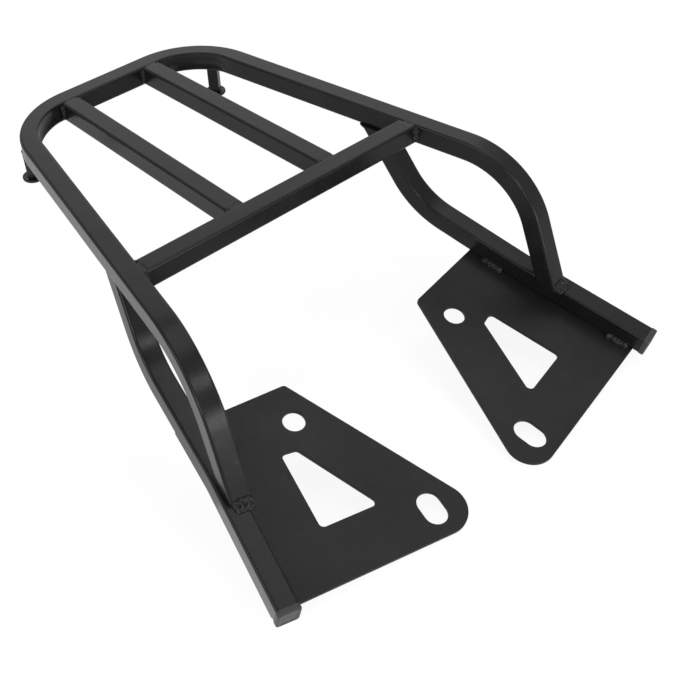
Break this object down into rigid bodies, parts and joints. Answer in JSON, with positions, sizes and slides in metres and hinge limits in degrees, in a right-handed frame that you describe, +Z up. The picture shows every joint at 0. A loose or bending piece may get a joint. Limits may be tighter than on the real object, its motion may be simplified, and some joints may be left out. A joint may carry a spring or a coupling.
{
  "type": "motorcycle luggage rack",
  "caption": "Welded square-tube rear luggage rack: hoop deck with slats and crossbar, turned-down legs, sloping side rails and drilled mounting plates.",
  "frame": {"origin": "centre of the crossbar's top face, in the deck's top plane", "axes": "+Z up, normal to the deck; +Y to the rear of the motorcycle; +X to its right seen from behind and above"},
  "size_m": [0.4692, 0.567, 0.1802],
  "materials": {
    "tube_coat": "satin black powder coat",
    "plate_coat": "satin black powder coat",
    "weld_coat": "satin black powder coat over weld beads",
    "hook_coat": "satin black coat",
    "cap_plastic": "matte black plastic"
  },
  "bodies": {
    "root": {"end_cap_left": "cap_plastic", "end_cap_right": "cap_plastic", "front_crossbar": "tube_coat", "hook_knob_left": "hook_coat", "hook_knob_right": "hook_coat", "hook_post_left": "hook_coat", "hook_post_right": "hook_coat", "hoop": "tube_coat", "plate_left": "plate_coat", "plate_right": "plate_coat", "rail_left": "tube_coat", "rail_right": "tube_coat", "slat_left": "tube_coat", "slat_right": "tube_coat", "weld_crossbar_front_left": "weld_coat", "weld_crossbar_front_right": "weld_coat", "weld_crossbar_rear_left": "weld_coat", "weld_crossbar_rear_right": "weld_coat", "weld_foot_left": "weld_coat", "weld_foot_right": "weld_coat", "weld_heel_left": "weld_coat", "weld_heel_right": "weld_coat", "weld_hook_left": "weld_coat", "weld_hook_right": "weld_coat", "weld_plate_front_left": "weld_coat", "weld_plate_front_right": "weld_coat", "weld_plate_rear_left": "weld_coat", "weld_plate_rear_right": "weld_coat", "weld_riser_front_left": "weld_coat", "weld_riser_front_right": "weld_coat", "weld_riser_rear_left": "weld_coat", "weld_riser_rear_right": "weld_coat", "weld_slat_front_inner_left": "weld_coat", "weld_slat_front_inner_right": "weld_coat", "weld_slat_front_outer_left": "weld_coat", "weld_slat_front_outer_right": "weld_coat", "weld_slat_rear_inner_left": "weld_coat", "weld_slat_rear_inner_right": "weld_coat", "weld_slat_rear_outer_left": "weld_coat", "weld_slat_rear_outer_right": "weld_coat"}
  },
  "joints": []
}
